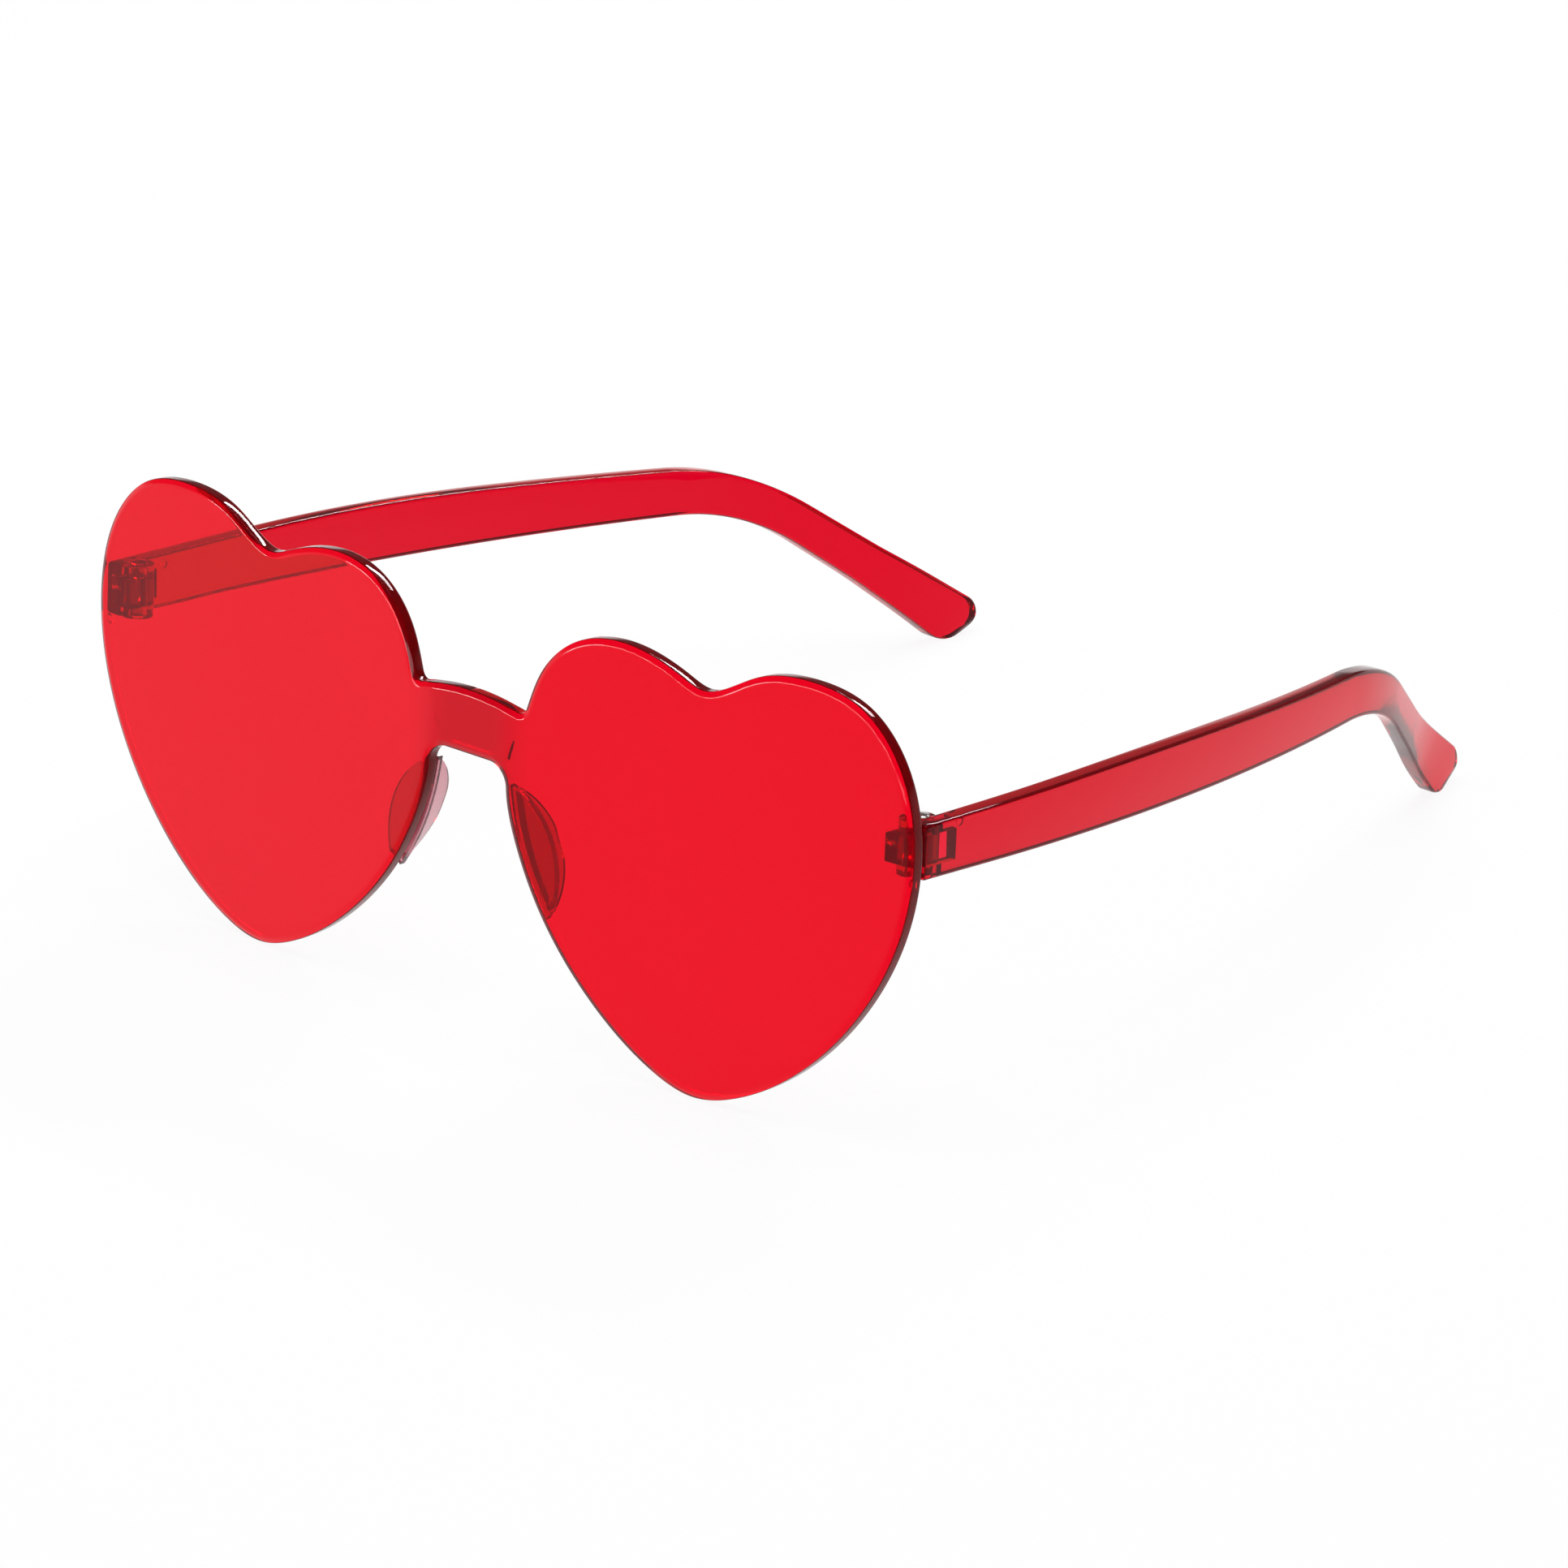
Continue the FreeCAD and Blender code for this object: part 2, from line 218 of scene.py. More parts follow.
# A pale tint and a clean shine: pink and grey where a pad reaches past the lens
pad_pink = clear_plastic("Dyed clear polycarbonate, pads", "#f8b4be", (0.24, 0.45, 0.38), mirror=1.0,
                         clear=0.9, wave_size=4.0)
# The most dye: small dark blocks behind the lens
hinge_red = clear_plastic("Dyed clear polycarbonate, hinges", "#c80c24", (0.2, 0.6, 0.5), mirror=0.2,
                          wave_size=4.0)
print("plastics", [material.name for material in (front_red, temple_red, pad_pink, hinge_red)])

# %% [markdown]
# The hinge screws are steel, turned on a lathe and nickel plated: small bright spots at the hinges. An even
# grey metal would look like paint, so gloss and height vary in a grain. The real grain is too fine to show,
# and it is drawn a quarter of a millimetre wide so that it does.

# %% Screw steel
steel_grain, grain_height = 0.25, 0.01


def turned_steel():
    """Nickel plated steel: a bright, slightly warm grey."""
    material, tree = new_material("Nickel plated turned steel")
    spot = node(tree, "ShaderNodeTexCoord")
    grain = node(tree, "ShaderNodeTexNoise", {"Scale": 1 / (steel_grain * MM), "Detail": 4.0},
                 {"Vector": (spot, "Object")})
    gloss = node(tree, "ShaderNodeMapRange", {"To Min": 0.1, "To Max": 0.22}, {"Value": (grain, "Fac")})
    bump = node(tree, "ShaderNodeBump", {"Strength": 0.3, "Distance": grain_height * MM},
                {"Height": (grain, "Fac")})
    surface = node(tree, "ShaderNodeBsdfPrincipled", {"Base Color": linear("#c9c7c2"), "Metallic": 1.0},
                   {"Roughness": (gloss, "Result"), "Normal": (bump, "Normal")})
    node(tree, "ShaderNodeOutputMaterial", {}, {"Surface": (surface, "BSDF")})
    return material


steel = turned_steel()
print(steel.name, "made of", len(steel.node_tree.nodes), "nodes")

# %% [markdown]
# Seen from the front, the sheet is two hearts and an arched bridge in one closed outline. Each heart is a
# smooth closed curve through points read off the photo, as shares of the lens width and height. A Bezier
# curve would need handles set by hand. A cubic spline that is solved through the points has no kinks, and
# the light runs smoothly along its rim.

# %% Heart curve
heart_shares = [
    (0.487, 0.000), (0.595, 0.026), (0.752, 0.133), (0.899, 0.317), (0.982, 0.520), (1.000, 0.684),
    (0.962, 0.859), (0.866, 0.970), (0.745, 1.000), (0.610, 0.976), (0.532, 0.930), (0.480, 0.913),
    (0.428, 0.930), (0.271, 0.968), (0.164, 0.940), (0.078, 0.848), (0.036, 0.727), (0.000, 0.597),
    (0.030, 0.442), (0.111, 0.282), (0.240, 0.133), (0.392, 0.028),
]
heart_places = 4000


def closed_spline(points, count):
    """Places along the smooth closed curve through some points, with the point spacing as its measure."""
    points = np.asarray(points, float)
    total = len(points)
    gaps = np.linalg.norm(np.roll(points, -1, 0) - points, axis=1)
    matrix = np.zeros((total, total))
    right_hand = np.zeros_like(points)
    for i in range(total):
        before, after, following = gaps[i - 1], gaps[i], (i + 1) % total
        matrix[i, i - 1] += before
        matrix[i, i] += 2 * (before + after)
        matrix[i, following] += after
        right_hand[i] = 6 * ((points[following] - points[i]) / after - (points[i] - points[i - 1]) / before)
    bends = np.linalg.solve(matrix, right_hand)
    stops = np.concatenate([[0], np.cumsum(gaps)])
    places = []
    for measure in np.linspace(0, stops[-1], count, endpoint=False):
        i = min(int(np.searchsorted(stops, measure, "right")) - 1, total - 1)
        j, gap = (i + 1) % total, gaps[i]
        a, b = (stops[i + 1] - measure) / gap, (measure - stops[i]) / gap
        places.append(a * points[i] + b * points[j]
                      + ((a ** 3 - a) * bends[i] + (b ** 3 - b) * bends[j]) * gap ** 2 / 6)
    return np.array(places)


heart_points = []
for across, up in heart_shares:
    flat = lens_inner + across * lens_width
    heart_points.append((fold_half_width + (flat - fold_half_width) * math.cos(wrap), up * lens_height))
heart = closed_spline(heart_points, heart_places)
print("heart of", len(heart), "places, mm", np.ptp(heart, axis=0).round(2))

# %% [markdown]
# The bridge is a low arch above and a straight line below, and small arcs fill the corners where it meets a
# heart. A corner's circle touches both lines, so its centre lies one radius off the heart and one radius
# off the bridge. The circle is rolled along the heart until it also touches the bridge, so that no curves
# have to be intersected.

# %% Bridge and its corners
bridge_top, bridge_height, bridge_crown = 43.9, 8.4, 3.2
bridge_top_fillet, bridge_bottom_fillet = 1.2, 3.0
nose_side, top_corner_heights, bottom_corner_heights = 20.0, (38.0, 52.0), (15.0, 40.0)
bridge_bottom = bridge_top - bridge_height
arch_half = lens_inner + bridge_height
arch_radius = (arch_half ** 2 + bridge_crown ** 2) / (2 * bridge_crown)
arch_centre = np.array([0, bridge_top - arch_radius])


def outward_of(path):
    """Unit normals of a closed path that runs anticlockwise."""
    run = np.roll(path, -1, 0) - np.roll(path, 1, 0)
    run /= np.linalg.norm(run, axis=1)[:, None]
    return np.stack([run[:, 1], -run[:, 0]], 1)


def touching(misses, heights):
    """The first place on the heart's nose side, between two heights, at which the miss changes sign."""
    for i in range(len(heart) - 1):
        near = heart[i, 0] < nose_side and heights[0] < heart[i, 1] < heights[1]
        if near and misses[i] * misses[i + 1] <= 0:
            return i
    raise ValueError("the corner circle touches nothing")


rolled = heart + outward_of(heart) * bridge_top_fillet
arch_gaps = np.linalg.norm(rolled - arch_centre, axis=1) - arch_radius - bridge_top_fillet
upper = touching(arch_gaps, top_corner_heights)
upper_centre = rolled[upper]
arch_end = arch_centre + (upper_centre - arch_centre) * arch_radius / (arch_radius + bridge_top_fillet)
rolled = heart + outward_of(heart) * bridge_bottom_fillet
lower = touching(rolled[:, 1] - (bridge_bottom - bridge_bottom_fillet), bottom_corner_heights)
lower_centre = rolled[lower]
line_start = np.array([lower_centre[0], bridge_bottom])
print("bridge meets the heart at", heart[upper].round(2), "and", heart[lower].round(2), "mm")

# %% [markdown]
# The right half of the outline runs from under the bridge, round the heart and up to the top of the arch.
# The left half is its mirror image. At the end the whole path is cut into equal steps, so that the rim's
# faces are alike.

# %% One outline
lower_steps, upper_steps, arch_steps, outline_step = 12, 10, 24, 0.3


def arc(centre, start, end, steps):
    """Places on the short arc about a centre from one place to another, both left out."""
    first = math.atan2(*(start - centre)[::-1])
    turn = (math.atan2(*(end - centre)[::-1]) - first + math.pi) % (2 * math.pi) - math.pi
    radius = np.linalg.norm(start - centre)
    angles = first + turn * np.linspace(0, 1, steps + 2)[1:-1]
    return centre + radius * np.stack([np.cos(angles), np.sin(angles)], 1)


def even(path, step):
    """The same closed path in equal steps."""
    closed = np.concatenate([path, path[:1]])
    measures = np.concatenate([[0], np.cumsum(np.linalg.norm(np.diff(closed, axis=0), axis=1))])
    stops = np.linspace(0, measures[-1], int(measures[-1] / step), endpoint=False)
    return np.stack([np.interp(stops, measures, closed[:, i]) for i in range(2)], 1)


bridge_middle_low, bridge_middle_high = np.array([0, bridge_bottom]), np.array([0, bridge_top])
right_half = np.concatenate([
    [bridge_middle_low, line_start], arc(lower_centre, line_start, heart[lower], lower_steps),
    heart[lower:], heart[:upper + 1], arc(upper_centre, heart[upper], arch_end, upper_steps), [arch_end],
    arc(arch_centre, arch_end, bridge_middle_high, arch_steps), [bridge_middle_high],
])
left_half = right_half[-2:0:-1] * (-1, 1)
outline = even(np.concatenate([right_half, left_half]), outline_step)
outline_out = outward_of(outline)
print("outline of", len(outline), "places, mm", np.ptp(outline, axis=0).round(2))

# %% [markdown]
# The sheet bends beside the bridge only, so how far back it lies depends on the distance from the middle
# alone. The bend is an easy curve and no crease, because a crease would show as a line in every reflection.
# On the rear a low step ends the bridge at each lens, and an ejector pin of the mould left a ring below
# each hinge. Both are raised in the mesh itself: bump in a material would not change how light goes through
# the sheet.

# %% Depth and relief of the sheet
fold_reach = fold_radius * math.tan(wrap / 2)
step_stride, step_shift = 12, 1.0
step_height, step_upper_height, step_ramp, step_fade = 0.25, 0.05, 0.5, 2.5
step_levels = 36.0, 36.3, 37.8, 39.5
pin_place, pin_radius, pin_edge, pin_height = np.array([72.0, 35.5]), 0.6, 0.08, 0.12
step_line = heart[upper:lower + 1:step_stride][::-1] - (step_shift, 0)


def face_depth(x):
    """How far back the front face is at a place across."""
    past = np.abs(x) - fold_half_width
    eased = np.clip(past + fold_reach, 0, 2 * fold_reach) ** 2 / (4 * fold_reach)
    return math.tan(wrap) * np.where(past > fold_reach, past, eased)


def relief(x, z):
    """How far the rear face stands out: the step at the end of the bridge, and the ring of the mould pin."""
    past = abs(x) - np.interp(z, step_line[:, 1], step_line[:, 0])
    height = np.interp(z, step_levels, (0, step_height, step_height, step_upper_height))
    step = height * np.clip(1 - past / step_ramp, 0, 1) * np.clip(1 + past / step_fade, 0, 1)
    edge = (np.hypot(abs(x) - pin_place[0], z - pin_place[1]) - pin_radius) / pin_edge
    return float(step + pin_height * math.exp(-edge ** 2))


print("lens ends %.2f mm behind the bridge, pin ring %.2f mm high"
      % (face_depth(wrapped_outer), relief(pin_place[0] + pin_radius, pin_place[1])))

# %% [markdown]
# A moulded sheet has a soft, wide rounding on the front rim and a small one behind. One Bevel modifier
# would give both the same curve, so the rim is made of rings here: copies of the outline, each a bit
# further out, in or back. From the flat front they ease into a chamfer and round off into the wall, and a
# quarter circle ends them behind. One more ring inside each rim keeps the flat faces truly flat, so that
# reflections in them stay straight.

# %% Rings of the rim
chamfer_angle = math.radians(22)
chamfer_run, chamfer_ease, rim_round, rear_round = 0.4, 0.5, 0.25, 0.4
ease_steps, round_places, flat_margin = 8, 8, 0.15


def ring(inset, share_back, offset):
    """The outline drawn in, on the front face (share 0) or the rear face (share 1), and set back."""
    flat = outline - outline_out * inset
    depth = face_depth(flat[:, 0]) + share_back * sheet_through + offset
    return np.stack([flat[:, 0], depth, flat[:, 1]], 1)


def between(angles):
    return (angles[1:] + angles[:-1]) / 2


ease_angles = np.linspace(0, chamfer_angle, ease_steps + 1)
round_angles = np.linspace(chamfer_angle, math.pi / 2, round_places)
slopes = np.concatenate([between(ease_angles), [chamfer_angle], between(round_angles)])
strides = np.concatenate([np.full(ease_steps, chamfer_ease / ease_steps), [chamfer_run],
                          rim_round * np.diff(round_angles)])
outs = np.concatenate([[0], np.cumsum(strides * np.cos(slopes))])
downs = np.concatenate([[0], np.cumsum(strides * np.sin(slopes))])
rings = [ring(outs[-1] + flat_margin, 0, 0)]
for out, down in zip(outs, downs):
    rings.append(ring(outs[-1] - out, 0, down))
for angle in np.linspace(0, math.pi / 2, round_places):
    rings.append(ring(rear_round * (1 - math.cos(angle)), 1, -rear_round * (1 - math.sin(angle))))
rings.append(ring(rear_round + flat_margin, 1, 0))
print(len(rings), "rings, front rim %.2f mm wide and %.2f mm deep" % (outs[-1], downs[-1]))

# %% [markdown]
# Both flat faces are filled with triangles between the places of the innermost rings. Only a place can be
# raised or set back, so more of them go where the sheet bends and, on the rear, along the step and round
# the pin.

# %% More places for the flat faces
fold_lines, line_places, line_margin = 5, 24, 0.4
fade_lines, ramp_lines, ramp_start = 6, 5, 0.05
pin_sides, pin_circles, pin_spread = 32, 9, 2.5


def seen_flat(rim):
    """A ring's places as seen from the front."""
    return [Vector((place[0], place[2])) for place in rim]


def fold_places(rim, side):
    """Places on upright lines inside a ring, where the sheet bends."""
    flat, places = seen_flat(rim), []
    for past in np.linspace(-fold_reach, fold_reach, fold_lines):
        x = side * (fold_half_width + past)
        heights = sorted(place.y for place in flat if abs(place.x - x) < outline_step / 2)
        levels = np.linspace(heights[0] + line_margin, heights[-1] - line_margin, line_places)
        places += [Vector((x, level)) for level in levels]
    return places


def relief_places(rim, side):
    """Places along the step and round the pin, clear of the ring that they lie in."""
    shifts = (*np.linspace(-step_fade, 0, fade_lines), *np.linspace(ramp_start, step_ramp, ramp_lines))
    lines = [step_line + (shift, 0) for shift in shifts]
    turns = np.linspace(0, 2 * math.pi, pin_sides, endpoint=False)
    circle = np.stack([np.cos(turns), np.sin(turns)], 1)
    spreads = np.linspace(-pin_spread, pin_spread, pin_circles)
    lines += [pin_place + circle * (pin_radius + pin_edge * spread) for spread in spreads]
    places = []
    for place in np.concatenate(lines):
        gaps = np.hypot(rim[:, 0] - place[0], rim[:, 2] - place[1])
        if gaps.min() > outline_step / 2:
            places.append(Vector((side * place[0], place[1])))
    return places


front_places, rear_places = [], []
for sign in (1, -1):
    front_places += fold_places(rings[0], sign)
    rear_places += fold_places(rings[-1], sign) + relief_places(rings[-1], sign)
print(len(front_places), "more places in front and", len(rear_places), "behind")

# %% [markdown]
# Neighbouring rings are joined by four-sided faces, and a Delaunay fill makes the triangles of the flat
# faces. The result is one closed mesh in the table's frame, with its object at the origin, as the CAD
# pieces have it.

# %% Front sheet
fill_merge = 1e-6


def faced_out(mesh):
    """Turn a mesh's faces outwards."""
    shell = bmesh.new()
    shell.from_mesh(mesh)
    bmesh.ops.recalc_face_normals(shell, faces=shell.faces)
    shell.to_mesh(mesh)
    shell.free()


def piece_from(name, places, faces, edges=(), smooth=True):
    mesh = bpy.data.meshes.new(name)
    mesh.from_pydata([tuple(place) for place in places], list(edges), [tuple(face) for face in faces])
    faced_out(mesh)
    mesh.polygons.foreach_set("use_smooth", [smooth] * len(mesh.polygons))
    piece = bpy.data.objects.new(name, mesh)
    scene.collection.objects.link(piece)
    return piece


def told(piece):
    """Print a piece's faces and size."""
    corners = np.array([vertex.co for vertex in piece.data.vertices]) / MM
    size = corners.max(0) - corners.min(0)
    print(piece.name, len(piece.data.polygons), "faces, mm", [round(float(value), 2) for value in size])


def fill(row, more, rear):
    """Fill a ring with triangles through more places, on the front face (rear 0) or the rear face (1)."""
    edges = [(i, (i + 1) % count) for i in range(count)]
    filled = geometry.delaunay_2d_cdt(seen_flat(rings[row]) + more, edges, [], 1, fill_merge)
    corners, _, triangles, origins, _, _ = filled
    numbers = []
    for corner, origin in zip(corners, origins):
        ringed = [index for index in origin if index < count]
        if ringed:
            numbers.append(row * count + ringed[0])
            continue
        numbers.append(len(places))
        depth = face_depth(corner.x) + rear * sheet_through
        depth += relief(corner.x, corner.y) if rear else 0
        places.append((corner.x, float(depth), corner.y))
    faces.extend([numbers[i] for i in triangle] for triangle in triangles)


count = len(outline)
places, faces = list(np.concatenate(rings)), []
for row in range(len(rings) - 1):
    for i in range(count):
        j = (i + 1) % count
        faces.append((row * count + i, row * count + j, (row + 1) * count + j, (row + 1) * count + i))
fill(0, front_places, 0)
fill(len(rings) - 1, rear_places, 1)
front = piece_from("front_sheet", stood(places), faces)
front.data.materials.append(front_red)
told(front)

# %% [markdown]
# A temple is a flat bar. Seen from the side it has an ear bend, a waist and a paddle tip, and its lower and
# upper edges are straight runs with rounded corners. Each corner has a measure: 1 at the bend, 2 at the
# waist and 3 at the tip. Places of the same measure on both edges face each other, so that the bar can be
# cut into sections.

# %% Temple from the side
temple_crown_depth, temple_bend_depth, temple_crown_reach, temple_bend_reach = 8.1, 6.1, 46.0, 101.7
waist_run, waist_drop, waist_depth, waist_slope_angle = 15.2, 11.2, 5.6, 37.2
tip_run, tip_drop, tip_length, tip_rise = 27.9, 21.5, 9.2, 3.1
crown_radius, bend_upper_radius, bend_lower_radius, waist_radius = 600.0, 37.0, 30.0, 75.0
tip_upper_radius, tip_lower_radius, tip_middle_measure, corner_steps = 2.8, 4.2, 3.3, 40


def rounded_path(corners):
    """Measures and places along straight runs with corners, each a place, a radius and a measure."""
    points = [np.array(place, float) for place, _, _ in corners]
    marks = [mark for _, _, mark in corners]
    places, measures = [points[0]], [marks[0]]
    for i in range(1, len(corners) - 1):
        radius = corners[i][1]
        before, after = points[i - 1] - points[i], points[i + 1] - points[i]
        lengths = np.linalg.norm(before), np.linalg.norm(after)
        before, after = before / lengths[0], after / lengths[1]
        half = math.acos(np.clip(before @ after, -1, 1)) / 2
        setback = radius / math.tan(half)
        start, end = points[i] + before * setback, points[i] + after * setback
        middle = before + after
        centre = points[i] + middle / np.linalg.norm(middle) * radius / math.sin(half)
        first = marks[i] - setback / lengths[0] * (marks[i] - marks[i - 1])
        last = marks[i] + setback / lengths[1] * (marks[i + 1] - marks[i])
        places += [start, *arc(centre, start, end, corner_steps), end]
        measures += list(np.linspace(first, last, corner_steps + 2))
    return np.array([*measures, marks[-1]]), np.array([*places, points[-1]])


slope = math.radians(waist_slope_angle)
waist_low = temple_bend_reach + waist_run, -waist_drop
waist_high = waist_low[0] + waist_depth * math.sin(slope), waist_low[1] + waist_depth * math.cos(slope)
tip_low = temple_bend_reach + tip_run, -tip_drop
tip_high = tip_low[0] + tip_length, tip_low[1] + tip_rise
tip_middle = (tip_low[0] + tip_high[0]) / 2, (tip_low[1] + tip_high[1]) / 2
low_measures, low_path = rounded_path([
    ((0, 0), 0, 0), ((temple_bend_reach, 0), bend_lower_radius, 1), (waist_low, waist_radius, 2),
    (tip_low, tip_lower_radius, 3), (tip_middle, 0, tip_middle_measure),
])
high_measures, high_path = rounded_path([
    ((0, temple_hinge_depth), 0, 0),
    ((temple_crown_reach, temple_crown_depth), crown_radius, temple_crown_reach / temple_bend_reach),
    ((temple_bend_reach, temple_bend_depth), bend_upper_radius, 1), (waist_high, waist_radius, 2),
    (tip_high, tip_upper_radius, 3), (tip_middle, 0, tip_middle_measure),
])
print("lower edge, mm", np.ptp(low_path, axis=0).round(2), "upper edge", np.ptp(high_path, axis=0).round(2))

# %% [markdown]
# Seen from above, a temple bows in to hold the head, curls further in at the bend and turns back a little
# at the tip. Bending a straight bar with a modifier would change its side view, so each edge place is set
# on the bow by itself. The bar is as thick everywhere, and where the bow is steep a step straight across it
# has to be longer.

# %% Temple from above
bow_place_share, bow_inset, turn_run, turn_inset, tip_inset = 0.508, 13.7, 23.3, 11.9, 3.2
bow_radius, curl_radius, turn_radius, overrun, slope_step = 300.0, 80.0, 35.0, 5.0, 0.2
curl_x = temple_middle - bow_inset
turn_x = curl_x - turn_inset
_, plan_path = rounded_path([
    ((temple_middle, -overrun), 0, 0), ((temple_middle, bow_place_share * temple_bend_reach), bow_radius, 1),
    ((curl_x, temple_bend_reach), curl_radius, 2), ((turn_x, temple_bend_reach + turn_run), turn_radius, 3),
    ((turn_x - tip_inset, tip_high[0]), 0, 4),
])


def bow(run):
    """How far out the bar's middle is at a run from its front end."""
    return np.interp(run, plan_path[:, 1], plan_path[:, 0])


def along_bow(edge):
    """Places in the bar's middle over an edge of its side view, and the steps straight across it."""
    run, height = edge.T
    steepness = (bow(run + slope_step) - bow(run - slope_step)) / (2 * slope_step)
    across = np.zeros((len(edge), 3))
    across[:, 0] = np.hypot(1, steepness)
    return np.stack([bow(run), temple_front + run, temple_base + height], 1), across


print("temple comes in by %.2f mm from hinge to tip" % (bow(0) - bow(tip_high[0])))

# %% [markdown]
# The bar is cut into sections along the measure, closest at the bends and at the tip. The ends of a moulded
# bar are rounded: the nearer a section is to an end, the more it is drawn in. At the tip its thickness has
# a larger round than in the CAD part, because a real tip is smooth enough to slide over an ear.

# %% Temple sections
temple_edge_round, tip_round, end_places = 0.5, 1.2, 5
section_runs = (0.02, 0.9, 60), (0.905, 1.7, 60), (1.72, 2.7, 30), (2.72, 3.17, 36)
end_turns = np.linspace(0, math.pi / 2, end_places)
end_measures = temple_edge_round * (1 - np.cos(end_turns)) / temple_bend_reach
measures = np.concatenate([end_measures, *[np.linspace(*run) for run in section_runs]])
low_edge = np.stack([np.interp(measures, low_measures, low_path[:, i]) for i in range(2)], 1)
high_edge = np.stack([np.interp(measures, high_measures, high_path[:, i]) for i in range(2)], 1)


def drawn_in(gap, radius):
    """How much a rounded end of some radius draws a section in, at a gap from the end."""
    nearness = np.clip(1 - gap / radius, 0, 1)
    return radius * (1 - np.sqrt(1 - nearness ** 2))


end_line = np.array(tip_high) - tip_low
end_line /= np.linalg.norm(end_line)
middles = (low_edge + high_edge) / 2 - tip_low
tip_gap = np.abs(middles[:, 0] * end_line[1] - middles[:, 1] * end_line[0])
front_end = drawn_in(np.abs(low_edge[:, 0]), temple_edge_round)
pinch = np.maximum(front_end, drawn_in(tip_gap, temple_edge_round))
thinning = np.maximum(front_end, drawn_in(tip_gap, tip_round))
low_places, low_across = along_bow(low_edge)
high_places, high_across = along_bow(high_edge)
print("temple in", len(measures), "sections, thinned by up to %.2f mm a side" % thinning.max())

# %% [markdown]
# A Geometry Nodes tree makes the bar, because its shape follows a rule: one section, swept between two
# edges. The tree draws the section once, as a rectangle with filleted corners. Each of its points remembers
# how far across the bar it is, how far it sits from the nearer edge, and which edge that is.

# %% Bar tree, its section


def open_tree(name, inputs):
    """A new Geometry Nodes tree with named inputs and a geometry as its output, and its input node."""
    tree = bpy.data.node_groups.new(name, "GeometryNodeTree")
    for title, kind in inputs.items():
        tree.interface.new_socket(title, in_out="INPUT", socket_type="NodeSocket" + kind)
    tree.interface.new_socket("Geometry", in_out="OUTPUT", socket_type="NodeSocketGeometry")
    return tree, node(tree, "NodeGroupInput")


bar_tree, bar_given = open_tree("Bar between two edges", {
    "Geometry": "Geometry", "Thickness": "Float", "Edge Round": "Float", "Round Steps": "Int",
    "Material": "Material"})
half_height = node(bar_tree, "ShaderNodeMath", {"operation": "MULTIPLY", 1: 2.0},
                   {0: (bar_given, "Edge Round")})
height = node(bar_tree, "ShaderNodeMath", {"operation": "MULTIPLY", 1: 2.0}, {0: half_height})
box = node(bar_tree, "GeometryNodeCurvePrimitiveQuadrilateral", {},
           {"Width": (bar_given, "Thickness"), "Height": height})
section = node(bar_tree, "GeometryNodeFilletCurve", {"mode": "POLY"},
               {"Curve": box, "Radius": (bar_given, "Edge Round"), "Count": (bar_given, "Round Steps")})
here = node(bar_tree, "ShaderNodeSeparateXYZ", {}, {0: node(bar_tree, "GeometryNodeInputPosition")})
off_middle = node(bar_tree, "ShaderNodeMath", {"operation": "ABSOLUTE"}, {0: (here, "Y")})
lift = node(bar_tree, "ShaderNodeMath", {"operation": "SUBTRACT"}, {0: half_height, 1: off_middle})
upper_side = node(bar_tree, "ShaderNodeMath", {"operation": "GREATER_THAN", 1: 0.0}, {0: (here, "Y")})
point_notes = {"across": (here, "X"), "lift": lift, "upper": upper_side}
for name, value in point_notes.items():
    section = node(bar_tree, "GeometryNodeStoreNamedAttribute", {"domain": "POINT", "Name": name},
                   {"Geometry": section, "Value": value})
print("section drawn by", len(bar_tree.nodes), "nodes, its points remember", list(point_notes))

# %% [markdown]
# Swept along the bar, each point is put between its own section's lower and upper edge: off the edge by its
# lift and off the middle by its distance across. The pinch and the thinning draw the end sections in, in
# height and in thickness. Every tree here ends in Realize Instances and Set Material, so that what comes
# out is an ordinary mesh.

# %% Bar tree, every point in its place
most_pinch = 0.49
route = node(bar_tree, "GeometryNodeMeshToCurve", {}, {"Mesh": (bar_given, "Geometry")})
swept = node(bar_tree, "GeometryNodeCurveToMesh", {"Fill Caps": True},
             {"Curve": route, "Profile Curve": section})
own = {}
for kind, names in (("FLOAT_VECTOR", ("low", "high", "low_across", "high_across")),
                    ("FLOAT", ("across", "lift", "upper", "pinch", "thinning"))):
    for name in names:
        own[name] = node(bar_tree, "GeometryNodeInputNamedAttribute", {"data_type": kind, "Name": name})
rise = node(bar_tree, "ShaderNodeVectorMath", {"operation": "SUBTRACT"}, {0: own["high"], 1: own["low"]})
upward = node(bar_tree, "ShaderNodeVectorMath", {"operation": "NORMALIZE"}, {0: rise})
rise_length = node(bar_tree, "ShaderNodeVectorMath", {"operation": "LENGTH"}, {0: rise})
most = node(bar_tree, "ShaderNodeMath", {"operation": "MULTIPLY", 1: most_pinch}, {0: (rise_length, "Value")})
inset = node(bar_tree, "ShaderNodeMath", {"operation": "ADD"}, {0: own["lift"], 1: own["pinch"]})
inset = node(bar_tree, "ShaderNodeMath", {"operation": "MINIMUM"}, {0: inset, 1: most})
way = node(bar_tree, "ShaderNodeMath", {"operation": "MULTIPLY_ADD", 1: -2.0, 2: 1.0}, {0: own["upper"]})
inset = node(bar_tree, "ShaderNodeMath", {"operation": "MULTIPLY"}, {0: inset, 1: way})
hand = node(bar_tree, "ShaderNodeMath", {"operation": "SIGN"}, {0: own["across"]})
reach = node(bar_tree, "ShaderNodeMath", {"operation": "ABSOLUTE"}, {0: own["across"]})
reach = node(bar_tree, "ShaderNodeMath", {"operation": "SUBTRACT"}, {0: reach, 1: own["thinning"]})
